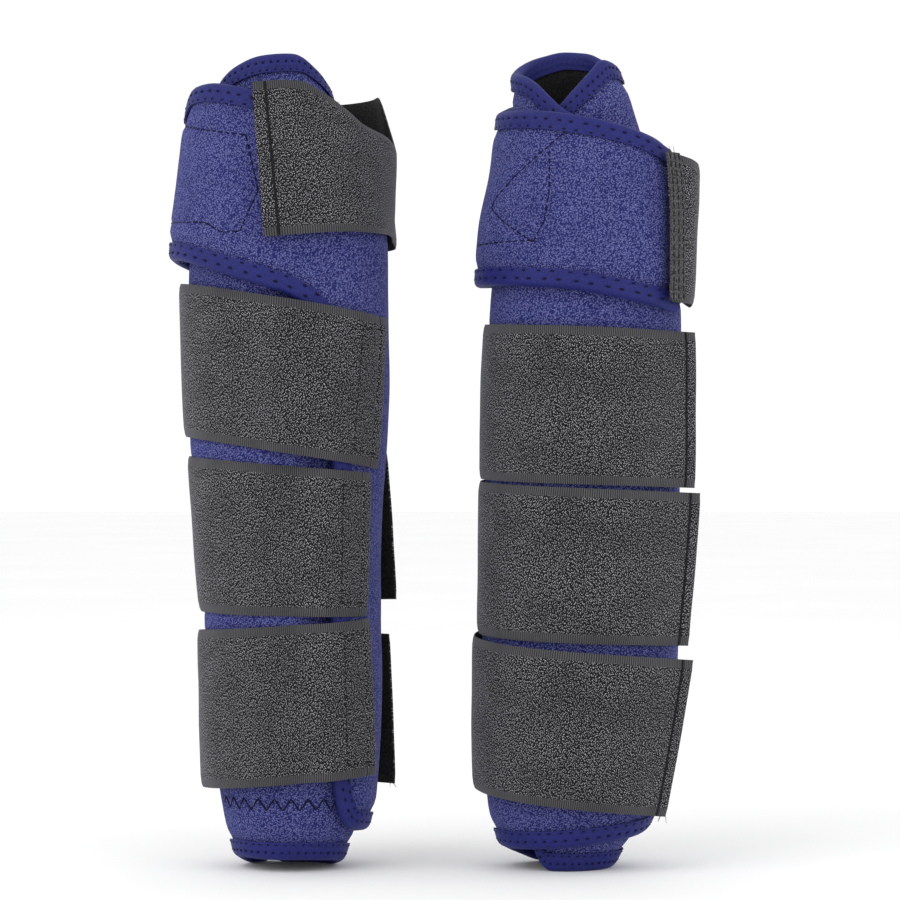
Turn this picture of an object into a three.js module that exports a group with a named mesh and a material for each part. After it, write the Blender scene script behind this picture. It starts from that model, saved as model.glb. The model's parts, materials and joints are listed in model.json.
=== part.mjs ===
// A pair of tendon boots: horse leg wraps of padded neoprene, rolled up and held
// by hook-and-loop straps. Each boot is one panel rolled about one and a half
// turns, with a wing at its top that goes on round the roll and ends in a strap.
//
// Units are millimetres. +Z runs up along the boots, -Y is the front of the pair,
// and the origin is the middle of the underside of the pair's bounding box.
//
// Places on a roll are given by u, z and w. u is the winding angle in degrees: it
// runs from the right side (0) over the front (90), the left (180) and the back
// (270) and on outwards turn by turn. z is the height, and w is the distance
// outwards from the middle of the panel at that angle.

import * as THREE from 'three';
import { mergeVertices } from 'three/addons/utils/BufferGeometryUtils.js';

// ---------------------------------------------------------------- dimensions

const BOOT_SPACING = 122;      // between the middles of the two boots
const PANEL = 4.7;             // panel with its lining
const PITCH = 5.8;             // outward growth of the roll for each turn
const LINING = 0.8;
const GAP = 0.3;               // between pieces that lie on each other
const BINDING_WIDTH = 7.4;
const STRAP = 1.5;             // thickness of the strap tape
const STRAP_GAP = 0.7;         // between a strap and the panel below it
const HOOK = 0.9;              // thickness of a hook patch
const STEP = 20;               // degrees between the columns of every sheet
const MM_PER_DEGREE = 0.66;    // along the middle turn of the roll
const TAPE_MM_PER_DEGREE = 0.7;

const START = -130;            // winding angle of the panel's inner edge
const FLAP = 420;              // winding angle of the flap's front edge
const WING_END = 687;          // winding angle where the wing stops
const TAPE_LEAVES = 670;       // from here on a strap's tip runs straight on

const LEFT_SIDE = 540;         // winding angle of the hinge of the three straps
const RIGHT_SIDE = 720;        // winding angle of the hinge of the sling strap
const HINGE_GAP = 0.5;         // degrees of winding left free on both sides of it

// Heights where the roll's width and depth change. Everything is straight between.
const LEVELS = [0, 28, 62, 130, 200, 258, 284, 333];
const HALF_DEPTH = [14, 19, 22, 23.5, 24.5, 25, 24.5, 20];
const COLLAR_HALF_DEPTH = [14, 19, 22, 23.5, 24.5, 24, 20, 14];
const COLLAR_TURN = [230, 330]; // over these angles the roll widens past the collar

// Edges of the panel, as [winding angle, height] points.
const HEM_START = -112;
const HEM_END = 400;
const INNER_CORNER = [[START, 16], [START, 15], [-126, 5], [-118, 1]];
const FLAP_CORNER = [[409, 21], [415, 27.5], [419, 35], [FLAP, 43], [FLAP, 44]];
const FILLET = [[FLAP, 200], [421.5, 210], [426, 219], [434, 227], [446, 233]];

const BOOTS = [
  {
    name: 'left',
    side: -1,
    mirrored: false,
    halfWidth: [13, 20.5, 24, 26, 30.5, 30.5, 28.1, 18.3],
    collarHalfWidth: [13, 20.5, 24, 26, 30.5, 27, 22, 12.5],
    lean: [3.5, 4, 2.8, 1, 0, -1, -0.6, -4],
    collarLean: [3.5, 4, 2.8, 1, 0, -1, -0.8, -5],
    hem: [[HEM_START, 0], [-30, 0], [0, 2], [40, 4], [90, 5], [140, 5], [180, 4], [215, 0], [235, 0],
      [260, 8], [300, 11], [HEM_END, 17.5]],
    top: [[START, 303], [-100, 318], [-60, 330], [-30, 328], [0, 320], [30, 326], [60, 331],
      [100, 330], [140, 325], [180, 317], [210, 314], [240, 310], [260, 305], [300, 302], [330, 297],
      [360, 293], [390, 298], [FLAP, 305], [460, 314], [500, 318.5], [520, 318], [540, 312],
      [600, 311], [630, 309.5], [660, 303], [WING_END, 295]],
    wingHem: [[460, 236.5], [480, 241], [500, 245], [520, 247.5], [540, 248], [560, 246], [600, 240],
      [640, 235], [WING_END, 228]],
    straps: [
      { name: 'upper_strap', start: [390, 382], tip: [684, 686], overWing: [446, 585], lift: [0, 0],
        edge: [[[384, 162.5], [540, 176], [600, 176], [690, 170.5]],
          [[384, 224], [540, 238.5], [600, 238.5], [690, 230]]] },
      { name: 'middle_strap', start: [395, 395], tip: [703, 693], overWing: [423, 900], lift: [0, 0],
        edge: [[[395, 103.5], [540, 105], [710, 109]], [[395, 161.5], [540, 168], [710, 169]]] },
      { name: 'lower_strap', start: [396, 394], tip: [696, 696], overWing: [423, 900], lift: [4.5, 0],
        edge: [[[395, 40], [540, 33], [710, 32]], [[395, 102.5], [540, 97], [710, 94]]] },
    ],
    sling: {
      start: 660,
      end: [816, 822],
      bottom: [[660, 252], [700, 254.5], [720, 257], [740, 258], [770, 258], [800, 256.5], [830, 254]],
      top: [[660, 315.5], [689, 316], [700, 316.5], [707, 315], [720, 294.5], [735, 297.5],
        [755, 301.3], [765, 306], [778, 312], [787, 315.6], [793, 317.7], [805, 318], [830, 316.5]],
      lift: [0.5, [[690, 0.5], [720, 3.5], [760, 0.5]]],
    },
  },
  {
    name: 'right',
    side: 1,
    mirrored: true,
    halfWidth: [14, 24.5, 29.2, 29.4, 28.8, 27.5, 24.2, 14],
    collarHalfWidth: [14, 24.5, 29.2, 29.4, 28.8, 25, 20, 13],
    lean: [-8, -5, -3, -2, -1.2, 0, 1.3, -3],
    collarLean: [-8, -5, -3, -2, -1.2, 0, 1, -7],
    hem: [[HEM_START, 0], [60, 0], [110, 0], [150, 5], [180, 8.5], [225, 9], [260, 10], [300, 12],
      [HEM_END, 17.5]],
    top: [[START, 305], [-117, 309], [-85, 318.5], [-62, 324.5], [-38, 329.3], [-11, 328.5],
      [10, 328], [30, 331], [60, 335], [90, 335.8], [120, 333.5], [150, 329.5], [180, 325],
      [210, 322.5], [225, 320], [240, 314.5], [250, 309.5], [260, 306], [300, 301], [330, 296.5],
      [360, 292], [390, 296], [FLAP, 303], [460, 315], [500, 314], [540, 309], [580, 307.5],
      [600, 306.5], [630, 303.5], [660, 299], [WING_END, 292]],
    wingHem: [[460, 236], [500, 238], [540, 237], [560, 237], [600, 236], [620, 235], [640, 232.5],
      [WING_END, 226]],
    straps: [
      { name: 'upper_strap', start: [390, 382], tip: [702, 702], overWing: [446, 900], lift: [0, 0],
        edge: [[[384, 162.5], [540, 159], [710, 155]], [[384, 224], [540, 222], [710, 218]]] },
      { name: 'middle_strap', start: [395, 395], tip: [698, 706], overWing: [423, 900], lift: [0, 0],
        edge: [[[395, 103.5], [540, 96], [710, 91]], [[395, 161.5], [540, 158], [710, 153]]] },
      { name: 'lower_strap', start: [396, 394], tip: [690, 699], overWing: [423, 900], lift: [1.5, 0],
        edge: [[[395, 40], [540, 33], [710, 21]], [[395, 102.5], [540, 95], [710, 85]]] },
    ],
    sling: {
      start: 676,
      end: [826, 824],
      bottom: [[676, 230], [720, 229], [760, 236], [800, 245], [830, 248]],
      top: [[676, 290.5], [690, 288], [700, 286.5], [720, 286.5], [760, 296.5], [800, 306], [830, 309]],
      lift: [0, [[676, 0], [700, 5], [720, 6], [745, 4], [790, 0]]],
    },
  },
];

const STRAP_HOOK = [620, 680];          // winding angles of a strap's hook patch
const SLING_HOOK = [760, 800];          // the same for the sling strap
const HOOK_MARGIN = 3;                  // between a hook patch and the strap's edges
const THROAT_ROOM = 0.6;                // more room for the binding round the wing's inner corner
const WING_PATCH = { from: 560, to: 640, low: 258, high: 296, thickness: 0.8 };

// ----------------------------------------------------------------- materials

const MATERIALS = {
  shell: { color: 0x4b4e91, roughness: 0.95, metalness: 0 },
  binding: { color: 0x343678, roughness: 0.8, metalness: 0 },
  lining: { color: 0x141416, roughness: 0.9, metalness: 0 },
  strap: { color: 0x3c3b3d, roughness: 0.9, metalness: 0 },
  hook: { color: 0x111111, roughness: 0.7, metalness: 0 },
};

// ------------------------------------------------------------------- helpers

// Straight interpolation through [key, value] points, held beyond both ends.
function along(points, key) {
  const next = points.findIndex((point) => point[0] >= key);
  if (next === 0) return points[0][1];
  if (next < 0) return points[points.length - 1][1];
  const [a, b] = [points[next - 1], points[next]];
  return a[1] + ((b[1] - a[1]) * (key - a[0])) / (b[0] - a[0]);
}

// A value given as one number, or as points by winding angle.
const atAngle = (value, u) => (Array.isArray(value) ? along(value, u) : value);

const atHeight = (values, z) => along(LEVELS.map((level, n) => [level, values[n]]), z);

// Winding angles from one to another, on whole steps between them and on others.
function angles(from, to, others = []) {
  const list = others.filter((u) => u > from + 1 && u < to - 1);
  for (let u = Math.ceil((from + 1) / STEP) * STEP; u < to - 1; u += STEP) list.push(u);
  return [from, ...list.sort((a, b) => a - b), to];
}

// A place on the roll.
function onRoll(boot, u, z, w) {
  const widened = THREE.MathUtils.smoothstep(u, ...COLLAR_TURN);
  const mix = (collar, body) => THREE.MathUtils.lerp(atHeight(collar, z), atHeight(body, z), widened);
  const spread = PANEL / 2 + (PITCH * (u - START)) / 360 + w;
  const angle = THREE.MathUtils.degToRad(u);
  return new THREE.Vector3(
    mix(boot.collarLean, boot.lean) + (mix(boot.collarHalfWidth, boot.halfWidth) + spread) * Math.cos(angle),
    -(mix(COLLAR_HALF_DEPTH, HALF_DEPTH) + spread) * Math.sin(angle),
    z,
  );
}

// A place on a strap: on the roll up to the angle where its tip leaves it, then
// straight on.
function onTape(boot, u, z, w, leaves = TAPE_LEAVES) {
  if (u <= leaves) return onRoll(boot, u, z, w);
  const place = onRoll(boot, leaves, z, w);
  const onward = place.clone().sub(onRoll(boot, leaves - 1, z, w)).normalize();
  return place.addScaledVector(onward, (u - leaves) * TAPE_MM_PER_DEGREE);
}

// A closed sheet on a grid. point(i, j, face) is the corner in column i and row j
// on the outer (1) or inner (-1) face, and has(i, j) tells which cells are there.
function sheet(columns, rows, point, has = () => true) {
  const corners = [];
  const filled = (i, j) => i >= 0 && j >= 0 && i < columns - 1 && j < rows - 1 && has(i, j);
  const quad = (a, b, c, d) => [a, b, c, a, c, d].forEach((p) => corners.push(p.x, p.y, p.z));
  for (let i = 0; i < columns - 1; i += 1) {
    for (let j = 0; j < rows - 1; j += 1) {
      if (!filled(i, j)) continue;
      const ring = [[i, j], [i, j + 1], [i + 1, j + 1], [i + 1, j]];
      const beyond = [[i - 1, j], [i, j + 1], [i + 1, j], [i, j - 1]];
      const outer = ring.map(([p, q]) => point(p, q, 1));
      const inner = ring.map(([p, q]) => point(p, q, -1));
      quad(...outer);
      quad(inner[0], inner[3], inner[2], inner[1]);
      beyond.forEach(([p, q], k) => {
        const m = (k + 1) % 4;
        if (filled(p, q)) return;
        if (k < 2) quad(outer[k], inner[k], inner[m], outer[m]);
        else quad(inner[k], inner[m], outer[m], outer[k]);
      });
    }
  }
  const geometry = new THREE.BufferGeometry();
  geometry.setAttribute('position', new THREE.Float32BufferAttribute(corners, 3));
  const merged = mergeVertices(geometry, 1e-4);
  merged.computeVertexNormals();
  return merged;
}

function piece(boot, name, kind, geometry) {
  const mesh = new THREE.Mesh(geometry, new THREE.MeshStandardMaterial(MATERIALS[kind]));
  mesh.name = `${boot.name}_${name}`;
  return mesh;
}

// --------------------------------------------------------------------- panel

// The place a binding's width, or another distance, inwards from a point of an
// outline. The outline runs with the panel on its left. A point's third value says
// that the panel lies straight above it (1) or below it (-1).
function inwards(outline, n, distance) {
  const [u, z, upright] = outline[n];
  if (upright) return [u, z + upright * distance];
  const flat = (point) => new THREE.Vector2(point[0] * MM_PER_DEGREE, point[1]);
  const before = flat(outline[Math.max(n - 1, 0)]);
  const after = flat(outline[Math.min(n + 1, outline.length - 1)]);
  const run = after.sub(before).normalize();
  const place = flat(outline[n]).add(new THREE.Vector2(-run.y, run.x).multiplyScalar(distance));
  return [place.x / MM_PER_DEGREE, place.y];
}

// The sheet of the panel between two depths w, inside its bindings. Its rows are
// the hem, the levels and the top edge; the wing has only the upper rows.
function panelSheet(boot, inside, outside) {
  const inset = BINDING_WIDTH + GAP;
  const innerEdge = START + inset / MM_PER_DEGREE;
  const flapEdge = FLAP - inset / MM_PER_DEGREE;
  const wingStart = boot.wingHem[0];
  const rounded = [...FILLET, wingStart];
  const throat = FILLET.map((point, n) => inwards(rounded, n, inset + (n ? THROAT_ROOM : 0)));
  const us = [
    innerEdge,
    ...angles(HEM_START, HEM_END),
    ...throat.map((point) => point[0]),
    ...angles(wingStart[0], WING_END),
  ];
  const heights = (u) => {
    const wingLow = u < wingStart[0] ? along(throat, u) : along(boot.wingHem, u) + inset;
    const hem = u < HEM_START ? INNER_CORNER[1][1] : along(boot.hem, u) + inset;
    const cornered = u > HEM_END;
    return [
      cornered ? LEVELS[1] : hem,
      cornered ? FLAP_CORNER[3][1] - 1 : LEVELS[1],
      LEVELS[2],
      LEVELS[3],
      cornered ? wingLow : LEVELS[4],
      LEVELS[5],
      LEVELS[6],
      along(boot.top, u) - inset,
    ];
  };
  const lowest = (u) => (u < HEM_END ? 0 : u < flapEdge - 1 ? 1 : 4);
  const has = (i, j) => j >= lowest(us[i]);
  const grid = us.map((u) => heights(u).map((z) => [u, z]));
  const w = (face) => (face > 0 ? outside : inside);
  return sheet(us.length, grid[0].length, (i, j, face) => onRoll(boot, ...grid[i][j], w(face)), has);
}

// A binding: tape folded over an edge of the panel, from the outline inwards.
function binding(boot, name, outline) {
  const stations = outline.map((point, n) => {
    const rows = [point, inwards(outline, n, BINDING_WIDTH)];
    return point[2] < 0 ? rows.reverse() : rows;
  });
  const place = (i, j, face) => onRoll(boot, stations[i][j][0], stations[i][j][1], (face * PANEL) / 2);
  return piece(boot, name, 'binding', sheet(stations.length, 2, place));
}

function bindings(boot) {
  const edge = (points, from, to, inside = 1) => angles(from, to).map((u) => [u, along(points, u), inside]);
  const hem = edge(boot.hem, HEM_START, HEM_END);
  const wingHem = edge(boot.wingHem, boot.wingHem[0][0], WING_END);
  const top = edge(boot.top, START, WING_END, -1);
  const upright = (u, from, to) => [from, ...LEVELS.filter((z) => z > from && z < to), to].map((z) => [u, z]);
  const flapEdge = upright(FLAP, FLAP_CORNER[4][1] + GAP, FILLET[0][1] - 1);
  const innerTop = boot.top[0][1] - BINDING_WIDTH - GAP;
  const innerEdge = upright(START, INNER_CORNER[0][1] + GAP, innerTop).reverse();
  return [
    binding(boot, 'hem_binding', [...INNER_CORNER, ...hem, ...FLAP_CORNER]),
    binding(boot, 'flap_binding', [...flapEdge, ...FILLET, ...wingHem]),
    binding(boot, 'top_binding', top),
    binding(boot, 'inner_edge_binding', innerEdge),
  ];
}

function panel(boot) {
  const innerFace = -PANEL / 2;
  const wing = WING_PATCH;
  const us = angles(wing.from, wing.to);
  const zs = [wing.low, ...LEVELS.filter((z) => z > wing.low && z < wing.high), wing.high];
  const patchPoint = (i, j, face) => {
    const w = innerFace - GAP - (face > 0 ? 0 : wing.thickness);
    return onRoll(boot, us[i], zs[j], w);
  };
  return [
    piece(boot, 'shell', 'shell', panelSheet(boot, innerFace + LINING + GAP, PANEL / 2)),
    piece(boot, 'lining', 'lining', panelSheet(boot, innerFace, innerFace + LINING)),
    piece(boot, 'wing_patch', 'hook', sheet(us.length, zs.length, patchPoint)),
  ];
}

// -------------------------------------------------------------------- straps

// How far a straight strap between two heights must stand off the roll to clear
// the levels between them.
function clearance(boot, low, high) {
  const body = (values) => {
    const [a, b] = [atHeight(values, low), atHeight(values, high)];
    const inside = LEVELS.filter((level) => level > low && level < high);
    const straight = (level) => a + ((b - a) * (level - low)) / (high - low);
    const needs = inside.map((level) => atHeight(values, level) - straight(level));
    return Math.max(0, ...needs);
  };
  return Math.max(body(boot.halfWidth), body(HALF_DEPTH));
}

// One stretch of tape between two winding angles for each of its two edges. With a
// margin it is narrower than the strap it lies under.
function tape(boot, { from, to, edges, level, lift, thickness, margin = 0, leaves }) {
  const us = angles(Math.max(...from), Math.min(...to), [FLAP - 10, WING_END + 2, leaves]);
  const onEdge = (u, row, face) => {
    const heights = edges.map((edge) => along(edge, u));
    const w = level(u) + atAngle(lift[row], u) + clearance(boot, ...heights) + (face * thickness) / 2;
    return onTape(boot, u, heights[row], w, leaves);
  };
  const place = (i, j, face) => {
    const inside = i > 0 && i < us.length - 1;
    const u = inside ? us[i] : (i ? to : from)[j];
    const across = onEdge(u, 1 - j, face).sub(onEdge(u, j, face));
    return onEdge(u, j, face).addScaledVector(across, margin / across.length());
  };
  return sheet(us.length, 2, place);
}

const ON_PANEL = PANEL / 2 + STRAP_GAP + STRAP / 2;
const HOOK_ROOM = HOOK + GAP;

// A strap: sewn to the flap, it steps down over the flap's edge, wraps the front
// and the left side, and its free tail closes over the back.
function strap(boot, spec) {
  const [leavesWing, meetsWing] = spec.overWing;
  const level = (u) => {
    const down = THREE.MathUtils.smoothstep(u, leavesWing, leavesWing + 22);
    const up = THREE.MathUtils.smoothstep(u, meetsWing - 25, meetsWing);
    const room = HOOK_ROOM * THREE.MathUtils.smoothstep(u, LEFT_SIDE + 10, STRAP_HOOK[0]);
    return ON_PANEL - PITCH * (down - up) + room;
  };
  const common = { edges: spec.edge, lift: spec.lift, leaves: TAPE_LEAVES };
  const hinge = [LEFT_SIDE - HINGE_GAP, LEFT_SIDE + HINGE_GAP];
  const under = (u) => level(u) - STRAP / 2 - GAP - HOOK / 2;
  const band = tape(boot, { ...common, from: spec.start, to: [hinge[0], hinge[0]], level, thickness: STRAP });
  const tail = tape(boot, { ...common, from: [hinge[1], hinge[1]], to: spec.tip, level, thickness: STRAP });
  const hook = tape(boot, {
    ...common,
    from: [STRAP_HOOK[0], STRAP_HOOK[0]],
    to: [STRAP_HOOK[1], STRAP_HOOK[1]],
    level: under,
    thickness: HOOK,
    margin: HOOK_MARGIN,
  });
  return [
    piece(boot, `${spec.name}_band`, 'strap', band),
    piece(boot, `${spec.name}_tail`, 'strap', tail),
    piece(boot, `${spec.name}_hook`, 'hook', hook),
  ];
}

// The sling strap: sewn to the wing's end, its tail closes over the front.
function slingStrap(boot) {
  const level = (u) => {
    const down = THREE.MathUtils.smoothstep(u, WING_END + 2, WING_END + 28);
    return ON_PANEL - (PITCH - HOOK_ROOM) * down;
  };
  const { start, end, bottom, top, lift } = boot.sling;
  const common = { edges: [bottom, top], lift, leaves: 900 };
  const hinge = [RIGHT_SIDE - HINGE_GAP, RIGHT_SIDE + HINGE_GAP];
  const under = (u) => level(u) - STRAP / 2 - GAP - HOOK / 2;
  const from = [start, start];
  const band = tape(boot, { ...common, from, to: [hinge[0], hinge[0]], level, thickness: STRAP });
  const tail = tape(boot, { ...common, from: [hinge[1], hinge[1]], to: end, level, thickness: STRAP });
  const hook = tape(boot, {
    ...common,
    from: [SLING_HOOK[0], SLING_HOOK[0]],
    to: [SLING_HOOK[1], SLING_HOOK[1]],
    level: under,
    thickness: HOOK,
    margin: HOOK_MARGIN,
  });
  return [
    piece(boot, 'sling_strap_band', 'strap', band),
    piece(boot, 'sling_strap_tail', 'strap', tail),
    piece(boot, 'sling_strap_hook', 'hook', hook),
  ];
}

// ------------------------------------------------------------------ the pair

function makeBoot(boot) {
  const group = new THREE.Group();
  group.add(...panel(boot), ...bindings(boot), ...boot.straps.flatMap((spec) => strap(boot, spec)));
  group.add(...slingStrap(boot));
  group.position.x = (boot.side * BOOT_SPACING) / 2;
  group.scale.y = boot.mirrored ? -1 : 1;
  return group;
}

const group = new THREE.Group();
group.add(...BOOTS.map(makeBoot));
const bounds = new THREE.Box3().setFromObject(group, true);
const middle = bounds.getCenter(new THREE.Vector3());
group.position.set(-middle.x, -middle.y, -bounds.min.z);
group.updateMatrixWorld(true);

export default group;
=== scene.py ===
"""The looks of a pair of tendon boots: horse leg wraps of padded neoprene, rolled up
and held by hook-and-loop straps.

Places on a roll are given by u, z and w, in degrees and millimetres: u is the winding
angle, from the right side (0) over the front (90), the left (180) and the back (270)
and on outwards turn by turn, z is the height, and w is the distance outwards from the
middle of the panel there. Everything built from them is in the frame's metres.
"""

import json
import math
import random
from bisect import bisect_right

import bpy
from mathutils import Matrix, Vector, kdtree, noise


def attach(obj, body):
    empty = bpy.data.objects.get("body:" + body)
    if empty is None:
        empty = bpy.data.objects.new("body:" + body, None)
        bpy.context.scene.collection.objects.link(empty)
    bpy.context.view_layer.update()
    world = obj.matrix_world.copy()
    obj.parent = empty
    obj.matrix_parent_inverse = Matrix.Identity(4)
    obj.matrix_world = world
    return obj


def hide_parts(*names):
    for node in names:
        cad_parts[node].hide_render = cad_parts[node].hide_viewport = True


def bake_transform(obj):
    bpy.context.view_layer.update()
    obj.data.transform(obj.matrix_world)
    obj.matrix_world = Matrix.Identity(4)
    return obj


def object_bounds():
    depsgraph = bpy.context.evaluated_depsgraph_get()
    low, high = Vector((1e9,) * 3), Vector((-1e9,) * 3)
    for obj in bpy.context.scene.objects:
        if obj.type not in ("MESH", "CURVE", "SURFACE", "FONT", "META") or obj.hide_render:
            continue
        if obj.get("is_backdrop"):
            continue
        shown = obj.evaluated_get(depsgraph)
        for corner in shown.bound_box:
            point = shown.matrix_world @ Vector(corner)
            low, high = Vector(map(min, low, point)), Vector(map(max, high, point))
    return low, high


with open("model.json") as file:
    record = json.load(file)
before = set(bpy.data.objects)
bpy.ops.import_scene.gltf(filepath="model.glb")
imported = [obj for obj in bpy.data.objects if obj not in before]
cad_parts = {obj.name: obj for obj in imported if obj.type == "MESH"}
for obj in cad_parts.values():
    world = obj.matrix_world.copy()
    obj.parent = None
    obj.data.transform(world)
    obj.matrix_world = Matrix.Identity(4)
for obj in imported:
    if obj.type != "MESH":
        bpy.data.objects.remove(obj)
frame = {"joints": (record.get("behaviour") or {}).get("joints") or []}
CAD_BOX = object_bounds()

# ------------------------------------------------------------------ dimensions

MM = 0.001
SPACING = 122  # between the middles of the two boots
SHIFT = (-0.665, -0.495)  # of the boots' middles, which centres the pair
PANEL = 4.7  # thickness, as the next few without a comment
PITCH = 5.8  # outward growth of the roll for each turn
BINDING = 7.4  # width of a folded binding
BINDING_PROUD = 0.25  # of a binding's face above the panel's
BINDING_TAPE = 0.6  # thickness of the tape that a binding is folded from
FOLD_DEPTH = 3.0  # how far inside a binding's fold the panel ends
LINING = 0.8
STRAP = 1.4
STRAP_GAP = 0.35  # between a strap and the face of the panel below it
HOOK = 0.9
HOOK_GAP = 0.25
MM_PER_DEGREE = 0.66  # of winding angle, along the panel
TAPE_MM_PER_DEGREE = 0.7  # and along a strap
SELVEDGE = 3.4  # width of a strap's ribbed edges
RIB = 0.85  # between two ribs of a selvedge
HEM_SEAM = 5.0  # distance of the seam from a strap's turned-in ends
SWAY = 1.3  # of the padding, over the whole roll
SWAY_FOLDS = (1.6, 26)  # how closely it goes round the roll, and its height
PINCH = 1.1  # of the panel's face at a binding
PRESS = 0.55  # of the panel's face under a strap
BINDING_PRESS = 0.5  # of a binding under a strap
SEAM_GROOVE = 0.6  # depth
CROWN = 0.35  # of a strap's middle above its edges
WAVE = 0.35  # of a strap along its length

START = -130  # winding angle of the panel's inner edge
HEM_START, HEM_END = -112, 400  # between the panel's two rounded lower corners
FLAP = 420  # winding angle of the flap's front edge
WING_START = 450  # where the wing's lower edge begins
WING_END = 687
WING_PATCH = {"across": (560, 640), "up": (258, 296)}
TAPE_LEAVES = 670  # from here on a strap's tip runs straight on
NEVER = 900  # a winding angle past the end of everything
LEFT_SIDE = 540  # winding angle of the hinge of the three straps

LEVELS = [0, 28, 62, 130, 200, 258, 284, 333]
HALF_DEPTH = [14, 19, 22, 23.5, 24.5, 25, 24.5, 20]
COLLAR_HALF_DEPTH = [14, 19, 22, 23.5, 24.5, 24, 20, 14]
COLLAR_TURN = (230, 330)  # over these angles the roll widens past the collar

INNER_CORNER = [(START, 16), (-129, 9), (-126, 5), (-118, 1)]
FLAP_CORNER = [(409, 21), (415, 27.5), (419, 35), (FLAP, 43)]
FILLET = [(FLAP, 200), (421.5, 210), (426, 219), (434, 227), (446, 233)]
EDGE_STEP = 1.2  # between two stations of an outline
EDGE_ROUNDING = 3  # radius of its corners


def strap(name, start, tip, over_wing, lift, low, high):
    """What one of the three straps round a boot is. start, tip and lift are pairs for
    its low and its high edge: winding angles, and how far it stands off. low and high
    give the heights of these edges, over_wing gives the angle past which it comes down
    off the outer turn and the one where it is back on it, and frayed gives the corners
    with loose threads: (0 start or 1 tip, 0 low or 1 high)."""
    return {
        "name": name, "start": start, "tip": tip, "over_wing": over_wing, "lift": lift,
        "low": low, "high": high, "leaves": TAPE_LEAVES, "hook": (620, 680),
        "frayed": [(1, 0)] if name == "lower_strap" else [],
    }


def sling(start, tip, lift, low, high):
    """What the sling strap at the wing's end is, in the same way."""
    return {
        "name": "sling_strap", "start": (start, start), "tip": tip, "over_wing": None,
        "lift": lift, "low": low, "high": high, "leaves": NEVER, "hook": (760, 800),
        "frayed": [(1, 0), (1, 1), (0, 0), (0, 1)],
    }


LEFT = {
    "name": "left",
    "side": -1,
    "mirrored": False,
    "half_width": [13, 20.5, 24, 26, 30.5, 30.5, 28.1, 18.3],
    "collar_half_width": [13, 20.5, 24, 26, 30.5, 27, 22, 12.5],
    "lean": [3.5, 4, 2.8, 1, 0, -1, -0.6, -4],
    "collar_lean": [3.5, 4, 2.8, 1, 0, -1, -0.8, -5],
    "hem": [(HEM_START, 0), (-30, 0), (0, 2), (40, 4), (90, 5), (140, 5), (180, 4), (215, 0), (235, 0),
            (260, 8), (300, 11), (HEM_END, 17.5)],
    "top_line": [(START, 303), (-100, 318), (-60, 330), (-30, 328), (0, 320), (30, 326), (60, 331),
                 (100, 330), (140, 325), (180, 317), (210, 314), (240, 310), (260, 305), (300, 302),
                 (330, 297), (360, 293), (390, 298), (FLAP, 305), (460, 314), (500, 318.5), (520, 318),
                 (540, 312), (600, 311), (630, 309.5), (660, 303), (WING_END, 295)],
    "wing_hem": [(460, 236.5), (480, 241), (500, 245), (520, 247.5), (540, 248), (560, 246), (600, 240),
                 (640, 235), (WING_END, 228)],
    "straps": [
        strap("upper_strap", (390, 382), (684, 686), (446, 585), (0, 0),
              [(384, 162.5), (540, 176), (600, 176), (690, 170.5)],
              [(384, 224), (540, 238.5), (600, 238.5), (690, 230)]),
        strap("middle_strap", (395, 395), (703, 693), (423, NEVER), (0, 0),
              [(395, 103.5), (540, 105), (710, 109)], [(395, 161.5), (540, 168), (710, 169)]),
        strap("lower_strap", (396, 394), (696, 696), (423, NEVER), (4.5, 0),
              [(395, 40), (540, 33), (710, 32)], [(395, 102.5), (540, 97), (710, 94)]),
        sling(660, (816, 822),
              ([(690, 0.5), (708, -1.2), (732, -1.2), (756, 0.5)], [(690, 0.5), (720, 3.5), (760, 0.5)]),
              [(660, 252), (700, 254.5), (720, 257), (740, 258), (770, 258), (800, 256.5), (830, 254)],
              [(660, 315.5), (689, 316), (700, 316.5), (707, 315), (720, 294.5), (735, 297.5), (755, 301.3),
               (765, 306), (778, 312), (787, 315.6), (793, 317.7), (805, 318), (830, 316.5)]),
    ],
    "patch_seams": [
        [(556, 303), (536, 303.5), (469, 296.4), (461, 274), (466, 265.5), (470, 258), (480, 257.7),
         (492, 262), (521, 263), (552, 263.5)],
    ],
}
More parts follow.
